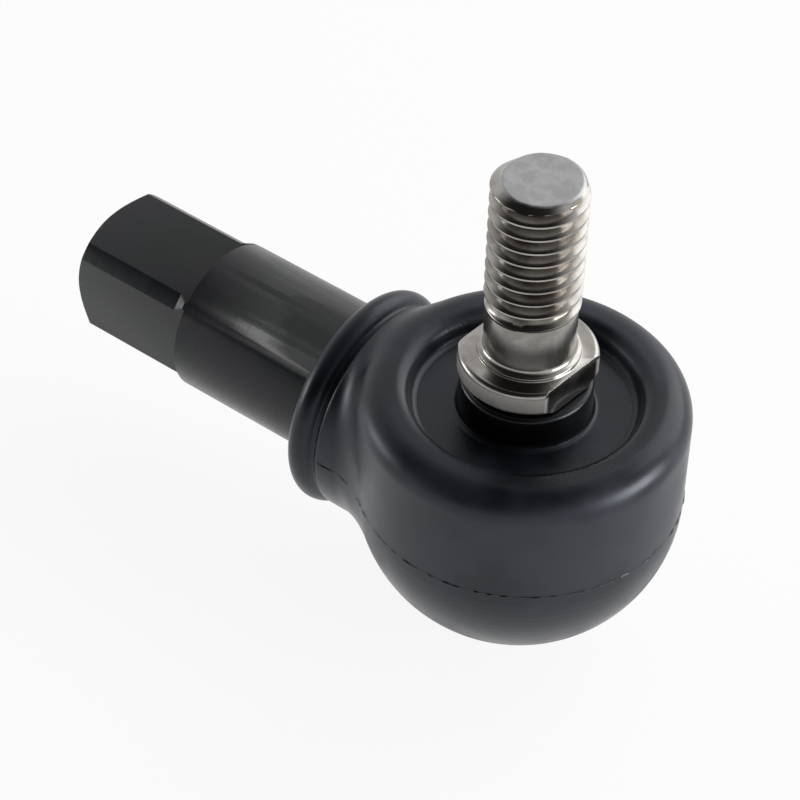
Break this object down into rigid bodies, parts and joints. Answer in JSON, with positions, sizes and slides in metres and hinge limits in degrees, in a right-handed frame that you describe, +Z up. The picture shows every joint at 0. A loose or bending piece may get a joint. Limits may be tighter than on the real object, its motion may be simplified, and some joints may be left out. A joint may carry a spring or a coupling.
{
  "type": "tie rod end",
  "caption": "Sealed ball-joint tie rod end: a threaded ball stud swivels in a rubber-booted socket on a shank with an internal thread and wrench flats.",
  "frame": {"origin": "the centre of the ball, where the stud's axis crosses the shank's axis", "axes": "+Z runs up the upright stud to its thread, and -X runs along the shank to its threaded end"},
  "size_m": [0.0706, 0.033, 0.0555],
  "materials": {
    "blackened_steel": "black oxide on forged and machined steel, satin",
    "stud_steel": "turned and rolled bare steel, bright on edges",
    "plain_steel": "stamped bare steel",
    "spring_steel": "oiled spring steel",
    "bearing_plastic": "natural acetal",
    "guide_plastic": "black acetal",
    "boot_rubber": "moulded black rubber, satin"
  },
  "bodies": {
    "housing": {"socket_housing": "blackened_steel", "disc_spring": "spring_steel", "pressure_plate": "plain_steel", "retaining_washer": "plain_steel", "snap_ring": "spring_steel", "rubber_boot": "boot_rubber", "clip_ring": "spring_steel"},
    "bearing": {"lower_bearing_shell": "bearing_plastic", "upper_bearing_shell": "bearing_plastic"},
    "stud_guide": {"slide_ring": "guide_plastic", "lip_ring": "spring_steel", "boot_diaphragm": "boot_rubber"},
    "stud": {"ball_stud": "stud_steel"}
  },
  "joints": [
    {"name": "bearing_swivel", "type": "hinge", "parent": "housing", "child": "bearing", "pos_m": [0, 0, 0], "axis": [0, 0, 1], "continuous": true},
    {"name": "stud_tilt", "type": "hinge", "parent": "bearing", "child": "stud_guide", "pos_m": [0, 0, 0], "axis": [0, 1, 0], "range_deg": [-15, 15], "deforming": ["boot_diaphragm"]},
    {"name": "stud_spin", "type": "hinge", "parent": "stud_guide", "child": "stud", "pos_m": [0, 0, 0], "axis": [0, 0, 1], "continuous": true}
  ]
}
